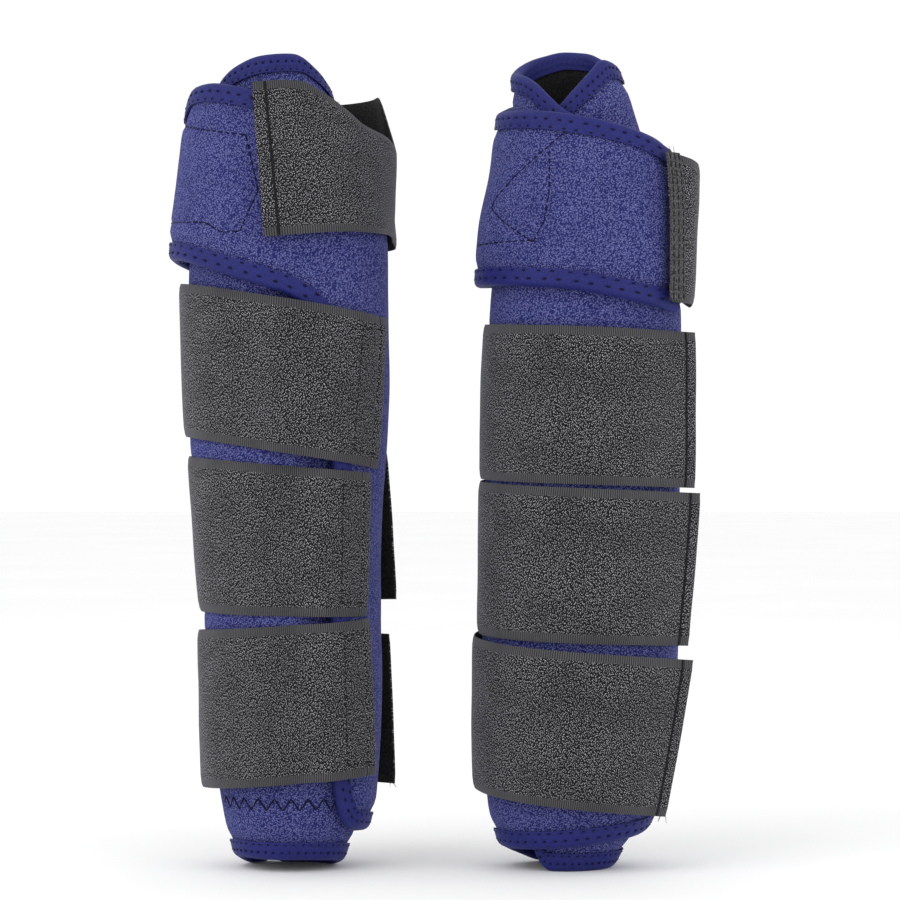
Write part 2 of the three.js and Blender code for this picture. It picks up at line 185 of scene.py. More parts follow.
RIGHT = {
    "name": "right",
    "side": 1,
    "mirrored": True,
    "half_width": [14, 24.5, 29.2, 29.4, 28.8, 27.5, 24.2, 14],
    "collar_half_width": [14, 24.5, 29.2, 29.4, 28.8, 25, 20, 13],
    "lean": [-8, -5, -3, -2, -1.2, 0, 1.3, -3],
    "collar_lean": [-8, -5, -3, -2, -1.2, 0, 1, -7],
    "hem": [(HEM_START, 0), (60, 0), (110, 0), (150, 5), (180, 8.5), (225, 9), (260, 10), (300, 12),
            (HEM_END, 17.5)],
    "top_line": [(START, 305), (-117, 309), (-85, 318.5), (-62, 324.5), (-38, 329.3), (-11, 328.5), (10, 328),
                 (30, 331), (60, 335), (90, 335.8), (120, 333.5), (150, 329.5), (180, 325), (210, 322.5),
                 (225, 320), (240, 314.5), (250, 309.5), (260, 306), (300, 301), (330, 296.5), (360, 292),
                 (390, 296), (FLAP, 303), (460, 315), (500, 314), (540, 309), (580, 307.5), (600, 306.5),
                 (630, 303.5), (660, 299), (WING_END, 292)],
    "wing_hem": [(460, 236), (500, 238), (540, 237), (560, 237), (600, 236), (620, 235), (640, 232.5),
                 (WING_END, 226)],
    "straps": [
        strap("upper_strap", (390, 382), (702, 702), (446, NEVER), (0, 0),
              [(384, 162.5), (540, 159), (710, 155)], [(384, 224), (540, 222), (710, 218)]),
        strap("middle_strap", (395, 395), (698, 706), (423, NEVER), (0, 0),
              [(395, 103.5), (540, 96), (710, 91)], [(395, 161.5), (540, 158), (710, 153)]),
        strap("lower_strap", (396, 394), (690, 699), (423, NEVER), (1.5, 0),
              [(395, 40), (540, 33), (710, 21)], [(395, 102.5), (540, 95), (710, 85)]),
        sling(676, (826, 824), (0, [(676, 0), (700, 5), (720, 6), (745, 4), (790, 0)]),
              [(676, 230), (720, 229), (760, 236), (800, 245), (830, 248)],
              [(676, 290.5), (690, 288), (700, 286.5), (720, 286.5), (760, 296.5), (800, 306), (830, 309)]),
    ],
    "patch_seams": [
        [(618, 299), (606, 291.9), (584, 281), (568, 271.6), (566, 268.5), (601, 253.6), (607, 262.2),
         (608, 272.2), (606, 290)],
        [(548, 254), (601, 254.4)],
    ],
}
ZIGZAG = {"from": 42, "to": 166, "low": 25.4, "high": 30.3, "pitch": 9.0}  # the seam above the hem

# --------------------------------------------------------------------- helpers


def smoothstep(value, low, high):
    t = min(max((value - low) / (high - low), 0.0), 1.0)
    return t * t * (3 - 2 * t)


def mix(a, b, t):
    return a + (b - a) * t


def bell(value, width):
    """1 at zero, falling off smoothly to either side over about the width."""
    return math.exp(-((value / width) ** 2))


class Curve:
    """A smooth line through (key, value) points that never passes beyond them, held
    level past both ends."""

    def __init__(self, points):
        self.keys = [p[0] for p in points]
        self.values = [p[1] for p in points]
        pairs = list(zip(points, points[1:]))
        steps = [(b[1] - a[1]) / (b[0] - a[0]) for a, b in pairs]
        inner = [2 * a * b / (a + b) if a * b > 0 else 0.0 for a, b in zip(steps, steps[1:])]
        self.slopes = [steps[0], *inner, steps[-1]]

    def __call__(self, key):
        keys, values = self.keys, self.values
        if key <= keys[0]:
            return values[0]
        if key >= keys[-1]:
            return values[-1]
        n = bisect_right(keys, key) - 1
        span = keys[n + 1] - keys[n]
        t = (key - keys[n]) / span
        a, b = values[n], values[n + 1]
        p, q = self.slopes[n] * span, self.slopes[n + 1] * span
        return a + t * (p + t * (3 * (b - a) - 2 * p - q + t * (2 * (a - b) + p + q)))


def stations(points, step, rounding):
    """A line through (winding angle, height) points, rounded off at its corners, as
    evenly spaced stations: [place, direction along], both flat and in millimetres."""
    line = [Vector((u * MM_PER_DEGREE, z)) for u, z in points]
    lengths = [0.0]
    for a, b in zip(line, line[1:]):
        lengths.append(lengths[-1] + (b - a).length)
    count = max(2, round(lengths[-1] / step))
    spread = []
    for n in range(count + 1):
        s = lengths[-1] * n / count
        k = min(bisect_right(lengths, s) - 1, len(line) - 2)
        spread.append(line[k].lerp(line[k + 1], (s - lengths[k]) / (lengths[k + 1] - lengths[k])))
    reach = max(1, round(rounding / step))
    for _ in range(2):
        averaged = []
        for n, place in enumerate(spread):
            near = min(n, count - n, reach)
            window = spread[n - near:n + near + 1]
            averaged.append(sum(window, Vector((0, 0))) / len(window))
        spread = averaged
    run = [(spread[min(n + 1, count)] - spread[max(n - 1, 0)]).normalized() for n in range(count + 1)]
    return [[place, direction] for place, direction in zip(spread, run)]


def spaced(start, end, step, fine=()):
    """Numbers from start to end in even steps, closer together near both ends at the
    fine distances from them."""
    first, last = [start + d for d in fine], [end - d for d in reversed(fine)]
    low, high = (first or [start])[-1], (last or [end])[0]
    count = max(1, round((high - low) / step))
    middle = [mix(low, high, n / count) for n in range(count + 1)]
    return [*first[:-1], *middle, *last[1:]]


def mesh_object(name, points, faces, material, layers=None, sharp=50, flipped=False, back=None, backs=()):
    """A mesh piece. layers gives the UV layers, each a list with a pair for each point,
    and the faces numbered in backs are of the material back."""
    mesh = bpy.data.meshes.new(name)
    ordered = [face[::-1] for face in faces] if flipped else faces
    mesh.from_pydata(points, [], ordered)
    for layer, values in (layers or {}).items():
        data = mesh.uv_layers.new(name=layer).data
        for loop in mesh.loops:
            data[loop.index].uv = values[loop.vertex_index]
    mesh.shade_smooth()
    mesh.set_sharp_from_angle(angle=math.radians(sharp))
    mesh.materials.append(material)
    if back:
        mesh.materials.append(back)
    for n in backs:
        mesh.polygons[n].material_index = 1
    obj = bpy.data.objects.new(name, mesh)
    bpy.context.scene.collection.objects.link(obj)
    return obj


def sheet_object(name, boot, columns, rows, point, material, has=lambda i, j: True, layers=None, back=None):
    """A closed sheet on a grid. point(i, j, face) is the corner in column i and row j on
    the outer (1) or inner (-1) face, and has(i, j) tells which cells are there. layers
    gives the UV layers, each a function of i and j, and back the inner face's material."""
    cells = {(i, j) for i in range(columns - 1) for j in range(rows - 1) if has(i, j)}
    index, points, keys, faces, backs = {}, [], [], [], []

    def corner(i, j, face):
        key = (i, j, face)
        if key not in index:
            index[key] = len(points)
            points.append(point(i, j, face))
            keys.append((i, j))
        return index[key]

    for i, j in sorted(cells):
        ring = [(i, j), (i, j + 1), (i + 1, j + 1), (i + 1, j)]
        beyond = [(i - 1, j), (i, j + 1), (i + 1, j), (i, j - 1)]
        outer = [corner(p, q, 1) for p, q in ring]
        inner = [corner(p, q, -1) for p, q in ring]
        backs.append(len(faces) + 1)
        faces += [outer, inner[::-1]]
        for k, neighbour in enumerate(beyond):
            m = (k + 1) % 4
            if neighbour not in cells:
                faces.append([outer[k], inner[k], inner[m], outer[m]])
    made = {layer: [value(i, j) for i, j in keys] for layer, value in (layers or {}).items()}
    return mesh_object(name, points, faces, material, made, 50, boot["mirrored"], back, backs if back else ())


# ------------------------------------------------------------------- materials


def colour(red, green, blue):
    """A linear colour from the 0 to 255 values that a screen shows."""

    def linear(value):
        value /= 255
        return value / 12.92 if value <= 0.04045 else ((value + 0.055) / 1.055) ** 2.4

    return (linear(red), linear(green), linear(blue), 1.0)


class Finish:
    """A procedural material, and short ways to add nodes to it."""

    def __init__(self, name, sheen=0.0, sheen_tint=(1, 1, 1, 1), specular=0.5):
        self.material = bpy.data.materials.new(name)
        self.material.use_nodes = True
        self.tree = self.material.node_tree
        self.shader = self.tree.nodes["Principled BSDF"]
        self.shader.inputs["Sheen Weight"].default_value = sheen
        self.shader.inputs["Sheen Roughness"].default_value = 0.45
        self.shader.inputs["Sheen Tint"].default_value = sheen_tint
        self.shader.inputs["Specular IOR Level"].default_value = specular

    def node(self, kind, inputs, output=0, **settings):
        made = self.tree.nodes.new("ShaderNode" + kind)
        for key, value in settings.items():
            setattr(made, key, value)
        for key, value in inputs.items():
            self.feed(made.inputs[key], value)
        return made.outputs[output]

    def feed(self, socket, value):
        if isinstance(value, bpy.types.NodeSocket):
            self.tree.links.new(value, socket)
        else:
            socket.default_value = value

    def math(self, operation, a, b=0.0, c=0.0):
        return self.node("Math", {0: a, 1: b, 2: c}, operation=operation)

    def ramp(self, value, low, high, to_low=0.0, to_high=1.0):
        """A smooth step of a value between two bounds."""
        inputs = {0: value, 1: low, 2: high, 3: to_low, 4: to_high}
        return self.node("MapRange", inputs, interpolation_type="SMOOTHSTEP")

    def blend(self, factor, a, b):
        return self.node("Mix", {0: factor, 6: a, 7: b}, output=2, data_type="RGBA")

    def place(self, scale, rotation=(0, 0, 0), layer=None):
        """Coordinates of the object, or of one of its UV layers, turned and scaled."""
        if layer:
            source = self.node("UVMap", {}, uv_map=layer)
        else:
            source = self.node("TexCoord", {}, output=3)
        return self.node("Mapping", {0: source, 2: rotation, 3: scale})

    def noise(self, vector, scale, detail=2.0, roughness=0.5, distortion=0.0):
        inputs = {"Vector": vector, "Scale": scale, "Detail": detail, "Roughness": roughness,
                  "Distortion": distortion}
        return self.node("TexNoise", inputs)

    def bent(self, vector, amount, reach):
        """A vector shifted by an amount, as far as reach along each axis."""
        shift = self.node("VectorMath", {0: amount, 1: reach}, operation="MULTIPLY")
        return self.node("VectorMath", {0: vector, 1: shift}, operation="ADD")

    def finish(self, base, roughness, height, depth, strength=1.0):
        """Joins colour, roughness and a bump of that depth in metres to the shader."""
        self.feed(self.shader.inputs["Base Color"], base)
        self.feed(self.shader.inputs["Roughness"], roughness)
        bump = self.node("Bump", {"Strength": strength, "Distance": depth, "Height": height})
        self.feed(self.shader.inputs["Normal"], bump)
        return self.material


def neoprene():
    """Brushed loop fabric on neoprene: a short matted pile in wavy flecks."""
    f = Finish("loop_neoprene", sheen=0.25, sheen_tint=colour(120, 130, 215), specular=0.2)
    place = f.place((1, 1, 1))
    bent = f.bent(place, f.noise(place, 1100, detail=1), (0.0009, 0.0009, 0.0009))
    flecks = f.node("TexVoronoi", {"Vector": bent, "Scale": 1550.0, "Randomness": 0.9})
    fine = f.noise(place, 3600, detail=1, roughness=0.5)
    pile = f.math("ADD", f.math("MULTIPLY", flecks, -0.8), f.math("MULTIPLY", fine, 0.5))
    worn = f.ramp(f.noise(place, 42, detail=3, roughness=0.55), 0.35, 0.7)
    dark = f.blend(worn, colour(27, 31, 88), colour(30, 34, 92))
    light = f.blend(worn, colour(96, 99, 152), colour(102, 105, 158))
    base = f.blend(f.ramp(pile, -0.2, 0.02), dark, light)
    rough = f.ramp(pile, -0.3, 0.1, 0.98, 0.8)
    return f.finish(base, rough, pile, 0.0006, 0.8)


def binding_tape():
    """Smooth stretch tape with a very fine knit."""
    f = Finish("binding", sheen=0.1, sheen_tint=colour(110, 118, 210), specular=0.3)
    place = f.place((1, 1, 1))
    knit = f.noise(place, 3200, detail=2, roughness=0.6)
    broad = f.ramp(f.noise(place, 60, detail=3), 0.35, 0.7)
    dark = f.blend(broad, colour(8, 13, 76), colour(11, 17, 84))
    base = f.blend(f.ramp(knit, 0.35, 0.7), dark, colour(24, 31, 110))
    return f.finish(base, f.ramp(knit, 0.35, 0.65, 0.72, 0.55), knit, 0.0003, 0.5)


def loop_tape():
    """Woven loop tape: a napped field of loops between two ribbed selvedges, with painted shade along the
    seam at its tip.
    """
    f = Finish("strap_tape", sheen=0.3, sheen_tint=colour(190, 190, 200), specular=0.3)
    weave = f.place((1, 1, 1), layer="weave")
    slanted = f.place((1.8, 1.15, 1), (0, 0, math.radians(38)), "weave")
    bent = f.bent(slanted, f.noise(weave, 0.35, 2), (1.5, 1.5, 0))
    cells = f.tree.nodes.new("ShaderNodeTexVoronoi")
    cells.voronoi_dimensions = "2D"
    f.feed(cells.inputs["Vector"], bent)
    f.feed(cells.inputs["Scale"], 1.0)
    f.feed(cells.inputs["Randomness"], 0.85)
    loops = f.ramp(cells.outputs["Distance"], 0.34, 0.12)
    tone = f.node("SeparateColor", {0: cells.outputs["Color"]})
    lit = f.math("MULTIPLY", loops, f.ramp(tone, 0.0, 1.0, 0.45, 1.0))
    worn = f.ramp(f.noise(weave, 0.06, 3), 0.3, 0.7, 0.8, 1.15)
    field = f.blend(f.math("MULTIPLY", lit, worn), colour(7, 7, 9), colour(190, 189, 195))
    apart = f.tree.nodes.new("ShaderNodeSeparateXYZ")
    f.feed(apart.inputs[0], f.node("UVMap", {}, uv_map="edge"))
    edge, end = apart.outputs[0], apart.outputs[1]
    along = f.node("SeparateXYZ", {0: weave})
    wave = f.math("SINE", f.math("MULTIPLY", along, 2 * math.pi / RIB))
    rib = f.math("ADD", f.math("MULTIPLY", wave, 0.5), 0.5)
    ribbed = f.blend(f.math("MULTIPLY", rib, worn), colour(26, 26, 29), colour(80, 79, 82))
    selvedge = f.ramp(edge, SELVEDGE + 0.4, SELVEDGE - 0.4)
    # Painted shade: the tape's colour goes near black in a narrow band along the seam at its tip, where the
    # groove in the strap is.
    seam = f.ramp(f.math("ABSOLUTE", f.math("SUBTRACT", end, HEM_SEAM)), 0.75, 0.3)
    base = f.blend(seam, f.blend(selvedge, field, ribbed), colour(14, 14, 16))
    height = f.node("Mix", {0: selvedge, 2: loops, 3: f.math("MULTIPLY", rib, 0.35)})
    rough = f.ramp(loops, 0.0, 1.0, 0.95, 0.78)
    return f.finish(base, rough, height, 0.0006, 0.8)


def plain_fabric(name, dark, light, scale, depth, roughness):
    """Fabric whose weave shows only as a fine grain."""
    f = Finish(name, sheen=0.02, specular=0.15)
    grain = f.noise(f.place((1, 1, 1)), scale, detail=3, roughness=0.6)
    base = f.blend(f.ramp(grain, 0.35, 0.68), dark, light)
    return f.finish(base, f.ramp(grain, 0.3, 0.7, roughness, roughness - 0.12), grain, depth, 0.7)


NEOPRENE = neoprene()
TAPE = binding_tape()
LOOP = loop_tape()
LINING_CLOTH = plain_fabric("lining", colour(9, 9, 10), colour(34, 33, 35), 1800, 0.0004, 0.9)
HOOKS = plain_fabric("hook_tape", colour(6, 6, 6), colour(44, 43, 43), 1500, 0.0008, 0.75)
NAVY_THREAD = plain_fabric("navy_thread", colour(3, 4, 24), colour(9, 11, 46), 3500, 0.0001, 0.7)
GREY_THREAD = plain_fabric("grey_thread", colour(10, 10, 11), colour(34, 34, 35), 3500, 0.0001, 0.7)
SEAM_CLOTH = plain_fabric("seam_tape", colour(28, 28, 30), colour(98, 97, 99), 1700, 0.0006, 0.9)

# -------------------------------------------------------------------- the roll


def prepare(boot):
    """Adds the boot's curves and outlines to its dimensions."""

    def levels(values):
        return Curve(list(zip(LEVELS, values)))

    boot["widths"] = [levels(boot["collar_half_width"]), levels(boot["half_width"])]
    boot["depths"] = [levels(COLLAR_HALF_DEPTH), levels(HALF_DEPTH)]
    boot["leaning"] = [levels(boot["collar_lean"]), levels(boot["lean"])]
    wing = Curve([FILLET[-1], *boot["wing_hem"]])
    wing_edge = [(u, wing(u)) for u in range(WING_START, WING_END, 4)] + [(WING_END, wing(WING_END))]
    hem, top = Curve(boot["hem"]), Curve(boot["top_line"])
    bottom = [(u, hem(u)) for u in range(HEM_START, HEM_END + 1, 4)]
    lower = [(START, boot["top_line"][0][1]), *INNER_CORNER, *bottom, *FLAP_CORNER]
    upper = [(u, top(u)) for u in range(START, WING_END, 4)] + [(WING_END, top(WING_END))]
    boot["edge"] = stations([*lower, *FILLET, *wing_edge], EDGE_STEP, EDGE_ROUNDING)
    boot["top"] = stations(upper, EDGE_STEP, EDGE_ROUNDING)
    everything = boot["edge"] + boot["top"]
    boot["tree"] = kdtree.KDTree(len(everything))
    for n, (place, _) in enumerate(everything):
        boot["tree"].insert((place.x, place.y, 0), n)
    boot["tree"].balance()
    for spec in boot["straps"]:
        spec["edges"] = [Curve(spec["low"]), Curve(spec["high"])]
        lifts = [lift if isinstance(lift, list) else [(0, lift), (NEVER, lift)] for lift in spec["lift"]]
        spec["lifts"] = [Curve(lift) for lift in lifts]
    width = (ZIGZAG["to"] - ZIGZAG["from"]) * MM_PER_DEGREE
    count = round(2 * width / ZIGZAG["pitch"])
    zigzag = [(mix(ZIGZAG["from"], ZIGZAG["to"], n / count), ZIGZAG["high" if n % 2 else "low"])
              for n in range(count + 1)]
    boot["seams"] = [*boot["patch_seams"], zigzag]
    dots = [station[0] for seam in boot["seams"] for station in stations(seam, 0.8, 0.8)]
    boot["seam_tree"] = kdtree.KDTree(len(dots))
    for n, place in enumerate(dots):
        boot["seam_tree"].insert((place.x, place.y, 0), n)
    boot["seam_tree"].balance()


def place_on(boot, u, z, w, leaves=None):
    """A place on the roll, in metres. Past the angle leaves it lies straight on."""
    if leaves is not None and u > leaves:
        last = place_on(boot, leaves, z, w)
        onward = (last - place_on(boot, leaves - 1, z, w)).normalized()
        return last + onward * ((u - leaves) * TAPE_MM_PER_DEGREE * MM)
    widened = smoothstep(u, *COLLAR_TURN)
    spread = PANEL / 2 + PITCH * (u - START) / 360 + w
    profiles = (boot["widths"], boot["depths"], boot["leaning"])
    half_width, half_depth, leaning = (mix(collar(z), body(z), widened) for collar, body in profiles)
    x = leaning + (half_width + spread) * math.cos(math.radians(u)) + boot["side"] * SPACING / 2
    y = -(half_depth + spread) * math.sin(math.radians(u)) * (-1 if boot["mirrored"] else 1)
    return Vector((x + SHIFT[0], y + SHIFT[1], z)) * MM


def sway(boot, u, z):
    """How far the padding swells or sinks at a place, alike in every turn of the roll."""
    turn = math.radians(u)
    around, up = SWAY_FOLDS
    at = Vector((around * math.cos(turn), around * math.sin(turn), z / up + 7 * boot["side"]))
    return SWAY / 2 * noise.noise(at)


def covered(boot, u, z):
    """How far a place on the panel is pressed down by a strap that lies on it: 0 to 1."""
    most = 0.0
    for spec in boot["straps"]:
        for turn in (u, u + 360):
            ends = smoothstep(turn, spec["start"][0] - 3, spec["start"][0] + 5)
            ends *= 1 - smoothstep(turn, spec["tip"][0] - 4, spec["tip"][0] + 4)
            if ends > 0:
                low, high = (edge(turn) for edge in spec["edges"])
                across = smoothstep(z, low - 1.5, low + 3) * (1 - smoothstep(z, high - 3, high + 1.5))
                most = max(most, ends * across)
    return most


def edge_distance(boot, u, z):
    """Millimetres from a place on the panel to the nearest bound edge."""
    return boot["tree"].find((u * MM_PER_DEGREE, z, 0))[2]


def face_level(boot, u, z):
    """How far outwards the panel's outer face lies: it is pinched in by the bindings,
    pressed in under the straps, and drawn in along the seams."""
    edge = edge_distance(boot, u, z)
    pinched = PINCH * (1 - smoothstep(edge, BINDING - 0.8, BINDING + 5))
    proud = 0.25 * bell(edge - BINDING - 7, 5)
    pressed = PRESS * covered(boot, u, z)
    groove = SEAM_GROOVE * bell(boot["seam_tree"].find((u * MM_PER_DEGREE, z, 0))[2], 1.5)
    return PANEL / 2 - pinched + proud - pressed - groove + sway(boot, u, z)


# --------------------------------------------------------------------- the panel


def inset_line(edge, distance, side):
    """The line at a distance inside an outline, as a curve of height by winding angle."""
    line = []
    for place, run in edge:
        inner = place + Vector((-run.y, run.x)) * (distance * side)
        u = inner.x / MM_PER_DEGREE
        if not line or u > line[-1][0] + 0.3:
            line.append((u, inner.y))
    return Curve(line)


def panel_grid(boot):
    """The panel's columns, which are winding angles, the heights in each of them, how
    many of these are below the wing, and the last column before the wing."""
    fine = [0, 1.2, 2.4, 3.6, 4.8, 6.2, 8, 10.5]
    fine_u = [d / MM_PER_DEGREE for d in fine]
    first, last = START + FOLD_DEPTH / MM_PER_DEGREE, FLAP - FOLD_DEPTH / MM_PER_DEGREE
    columns = spaced(first, last, 3.2, fine_u)
    columns += spaced(last, WING_END, 2.4, fine_u)[1:]
    front = (FLAP - 1) * MM_PER_DEGREE
    split = next(n for n, (place, _) in enumerate(boot["edge"]) if place.x > front and place.y > 100)
    under = inset_line([s for s in boot["edge"][:split] if s[0].y < 60], FOLD_DEPTH, 1)
    wing = inset_line([s for s in boot["edge"][split:] if s[0].y > FILLET[0][1] - 2], FOLD_DEPTH, 1)
    over = inset_line(boot["top"], FOLD_DEPTH, -1)
    below = 0
    heights = []
    for u in columns:
        step = max(wing(u), FILLET[0][1] + 1)
        lower = [mix(under(u), step, t) for t in spaced(0, 1, 0.018, [d / 190 for d in fine])]
        share = [d / 110 for d in fine]
        upper = [mix(step, over(u), t) for t in spaced(0, 1, 0.03, share)]
        below = len(lower) - 1
        heights.append(lower[:-1] + upper)
    return columns, heights, below, last


def make_panel(boot):
    """The padded panel and its lining, each one closed sheet that ends in the bindings."""
    columns, heights, below, last = panel_grid(boot)
    facts = {}
    for i, u in enumerate(columns):
        for j, z in enumerate(heights[i]):
            facts[i, j] = (u, z, sway(boot, u, z))

    def has(i, j):
        return columns[i] < last - 0.01 or j >= below

    def outer(i, j, face):
        u, z, swell = facts[i, j]
        return place_on(boot, u, z, face_level(boot, u, z) if face > 0 else -PANEL / 2 + LINING + swell)

    def inner(i, j, face):
        u, z, swell = facts[i, j]
        pinched = 1 - smoothstep(edge_distance(boot, u, z), BINDING - 0.8, BINDING + 4)
        w = -PANEL / 2 + 0.6 * pinched
        return place_on(boot, u, z, (w if face < 0 else -PANEL / 2 + LINING - 0.02) + swell)

    rows = len(heights[0])
    name = boot["name"]
    panel = sheet_object(f"{name}_panel", boot, len(columns), rows, outer, NEOPRENE, has)
    lining = sheet_object(f"{name}_inner_lining", boot, len(columns), rows, inner, LINING_CLOTH, has)
    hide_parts(f"{name}_shell")
    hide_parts(f"{name}_lining")
    return panel, lining


STITCH = 5.4  # between two stitches of a binding's row
STITCH_HALF = 0.8  # half the length of one
BINDING_THREAD = 0.46  # radius
STITCH_ROWS = (3.2, 6.5)  # distances of a binding's two rows from the edge
PUCKER = 0.24  # of a binding's half thickness, drawn in at a stitch


def binding_section(pucker):
    """A binding's section as (distance inwards, share of its half thickness) pairs,
    round the outside and back along the inside."""
    low, high = STITCH_ROWS
    outside = [(BINDING, 1.0), (BINDING - 0.5, 1.04), (high - 0.4, 1.0 - 0.6 * pucker[1]), (5.2, 1.02),
               (low + 0.9, 1.03), (low, 1.0 - pucker[0]), (2.2, 0.98), (1.2, 0.84), (0.4, 0.55), (0.0, 0.2)]
    inside = [(BINDING_TAPE, 0.14), (BINDING_TAPE + 0.5, 0.45), (2.4, 0.68), (BINDING, 0.7)]
    turned = [(d, -share) for d, share in reversed(outside)]
    return outside + turned + [(d, -share) for d, share in reversed(inside)] + inside


def make_binding(boot, name, edge, side, nodes):
    """Tape folded over an edge of the panel and sewn down, so it puckers at each stitch."""
    half = PANEL / 2 + BINDING_PROUD
    points, faces = [], []
    travelled, before = 0.0, edge[0][0]
    for place, run in edge:
        travelled += (place - before).length
        before = place
        phase = 2 * math.pi * travelled / STITCH
        pucker = [PUCKER * (0.5 + 0.5 * side_of * math.cos(phase)) ** 3 for side_of in (1, -1)]
        section = binding_section(pucker)
        inwards = Vector((-run.y, run.x)) * side
        u0, z0 = place.x / MM_PER_DEGREE, place.y
        press = BINDING_PRESS * covered(boot, u0, z0)
        for d, share in section:
            at = place + inwards * d
            u, z = at.x / MM_PER_DEGREE, at.y
            w = share * (half - (press if share > 0 else 0))
            points.append(place_on(boot, u, z, w + sway(boot, u, z)))
    ring = len(section)
    for n in range(len(edge) - 1):
        for k in range(ring):
            m = (k + 1) % ring
            faces.append([n * ring + k, n * ring + m, (n + 1) * ring + m, (n + 1) * ring + k])
    last = (len(edge) - 1) * ring
    faces += [list(range(ring))[::-1], [last + k for k in range(ring)]]
    flipped = boot["mirrored"] != (side < 0)
    piece = mesh_object(f"{boot['name']}_{name}", points, faces, TAPE, sharp=60, flipped=flipped)
    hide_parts(*(f"{boot['name']}_{node}" for node in nodes))
    return piece


def capsules(name, runs, material):
    """Short lengths of thread in one mesh: each run is (one end, other end, radius)."""
    sides, points, faces = 6, [], []
    for a, b, radius in runs:
        along = (b - a).normalized()
        across = along.orthogonal().normalized()
        other = along.cross(across)
        first = len(points)
        for t, share in ((0.0, 0.35), (0.22, 1.0), (0.78, 1.0), (1.0, 0.35)):
            for k in range(sides):
                angle = 2 * math.pi * k / sides
                aside = across * math.cos(angle) + other * math.sin(angle)
                points.append(a.lerp(b, t) + aside * (radius * share))
        for ring in range(3):
            for k in range(sides):
                p, q = first + ring * sides + k, first + ring * sides + (k + 1) % sides
                faces.append([p, q, q + sides, p + sides])
        faces.append([first + k for k in range(sides)][::-1])
        faces.append([first + 3 * sides + k for k in range(sides)])
    return mesh_object(name, points, faces, material, sharp=80)


def binding_stitches(boot):
    """The two rows of stitches that show on the outside of every binding."""
    runs = []
    for edge, side in ((boot["edge"], 1), (boot["top"], -1)):
        travelled, due, before = 0.0, 0.0, edge[0][0]
        row = 0
        for place, run in edge:
            travelled += (place - before).length
            before = place
            if travelled < due:
                continue
            due += STITCH / 2
            at = place + Vector((-run.y, run.x)) * (side * STITCH_ROWS[row])
            ends = []
            for step in (-STITCH_HALF, STITCH_HALF):
                spot = at + run * step
                u, z = spot.x / MM_PER_DEGREE, spot.y
                press = BINDING_PRESS * covered(boot, u, z)
                ends.append(place_on(boot, u, z, PANEL / 2 + BINDING_PROUD - 0.2 - press + sway(boot, u, z)))
            runs.append((*ends, BINDING_THREAD * MM))
            row = 1 - row
    return capsules(f"{boot['name']}_binding_stitches", runs, NAVY_THREAD)


SEAM_STITCH = 2.6  # length of a stitch of a seam
SEAM_GAP = 0.7  # between two of them
SEAM_THREAD = 0.26  # radius of the straps' thread
PATCH_THREAD = 0.33  # of the thread round the wing's patch
ZIGZAG_THREAD = 0.42


def dashes(length, stitch=SEAM_STITCH):
    """The ends of the stitches of a seam of that length, in millimetres along it."""
    count = max(1, round((length + SEAM_GAP) / (stitch + SEAM_GAP)))
    pitch = (length + SEAM_GAP) / count
    return [(n * pitch, n * pitch + pitch - SEAM_GAP) for n in range(count)]


def seam_stitches(boot):
    """The thread of the seams that show on the panel's face."""
    runs = []
    for seam in boot["seams"]:
        line = [Vector((u * MM_PER_DEGREE, z)) for u, z in seam]
        for a, b in zip(line, line[1:]):
            length = (b - a).length
            is_zigzag = seam is boot["seams"][-1]
            radius = (ZIGZAG_THREAD if is_zigzag else PATCH_THREAD) * MM
            for ends in dashes(length, length if is_zigzag else SEAM_STITCH):
                spots = [a.lerp(b, end / length) for end in ends]
                at = [(spot.x / MM_PER_DEGREE, spot.y) for spot in spots]
                runs.append((*(place_on(boot, u, z, face_level(boot, u, z) + 0.1) for u, z in at), radius))
    return capsules(f"{boot['name']}_seam_stitches", runs, NAVY_THREAD)


# -------------------------------------------------------------------- the straps

ON_PANEL = PANEL / 2 + STRAP_GAP + STRAP / 2
ON_WING = ON_PANEL + 0.3  # of the middle of the sling strap
HOOK_ROOM = 1.2


def strap_level(spec, u):
    """How far outwards from the panel's middle the middle of a strap lies."""
    if spec["over_wing"] is None:
        return ON_WING - (PITCH - HOOK_ROOM) * smoothstep(u, WING_END + 2, WING_END + 28)
    leaves_wing, meets_wing = spec["over_wing"]
    down = smoothstep(u, leaves_wing, leaves_wing + 22)
    up = smoothstep(u, meets_wing - 25, meets_wing)
    room = HOOK_ROOM * smoothstep(u, LEFT_SIDE + 10, spec["hook"][0])
    return ON_PANEL - PITCH * (down - up) + room


def clearance(boot, low, high):
    """How far a straight strap between two heights stands off to clear the roll."""
    most = 0.0
    for profile in (boot["widths"][1], boot["depths"][1]):
        a, b = profile(low), profile(high)
        for n in range(1, 6):
            z = mix(low, high, n / 6)
            most = max(most, profile(z) - mix(a, b, n / 6))
    return most


def on_strap(boot, spec, s, v, w, ends=None):
    """A place on a strap: s runs along it from 0 to 1, v across it from its low to its
    high edge, and w is the distance outwards from its middle, in millimetres."""
    start, tip = ends or (spec["start"], spec["tip"])
    edges = []
    for row in (0, 1):
        u = mix(start[row], tip[row], s)
        low, high = (edge(u) for edge in spec["edges"])
        level = strap_level(spec, u) + spec["lifts"][row](u) + clearance(boot, low, high) + w
        edges.append(place_on(boot, u, (low, high)[row], level, spec["leaves"]))
    return edges[0].lerp(edges[1], v)


def softness(boot, spec, s, v):
    """How far a strap's middle waves outwards from the straight."""
    turn = mix(spec["start"][0], spec["tip"][0], s)
    at = Vector((turn / 24, v * 3, 11 * boot["side"] + 0.2 * spec["low"][0][1]))
    return WAVE * noise.noise(at) + CROWN * math.sin(math.pi * v)


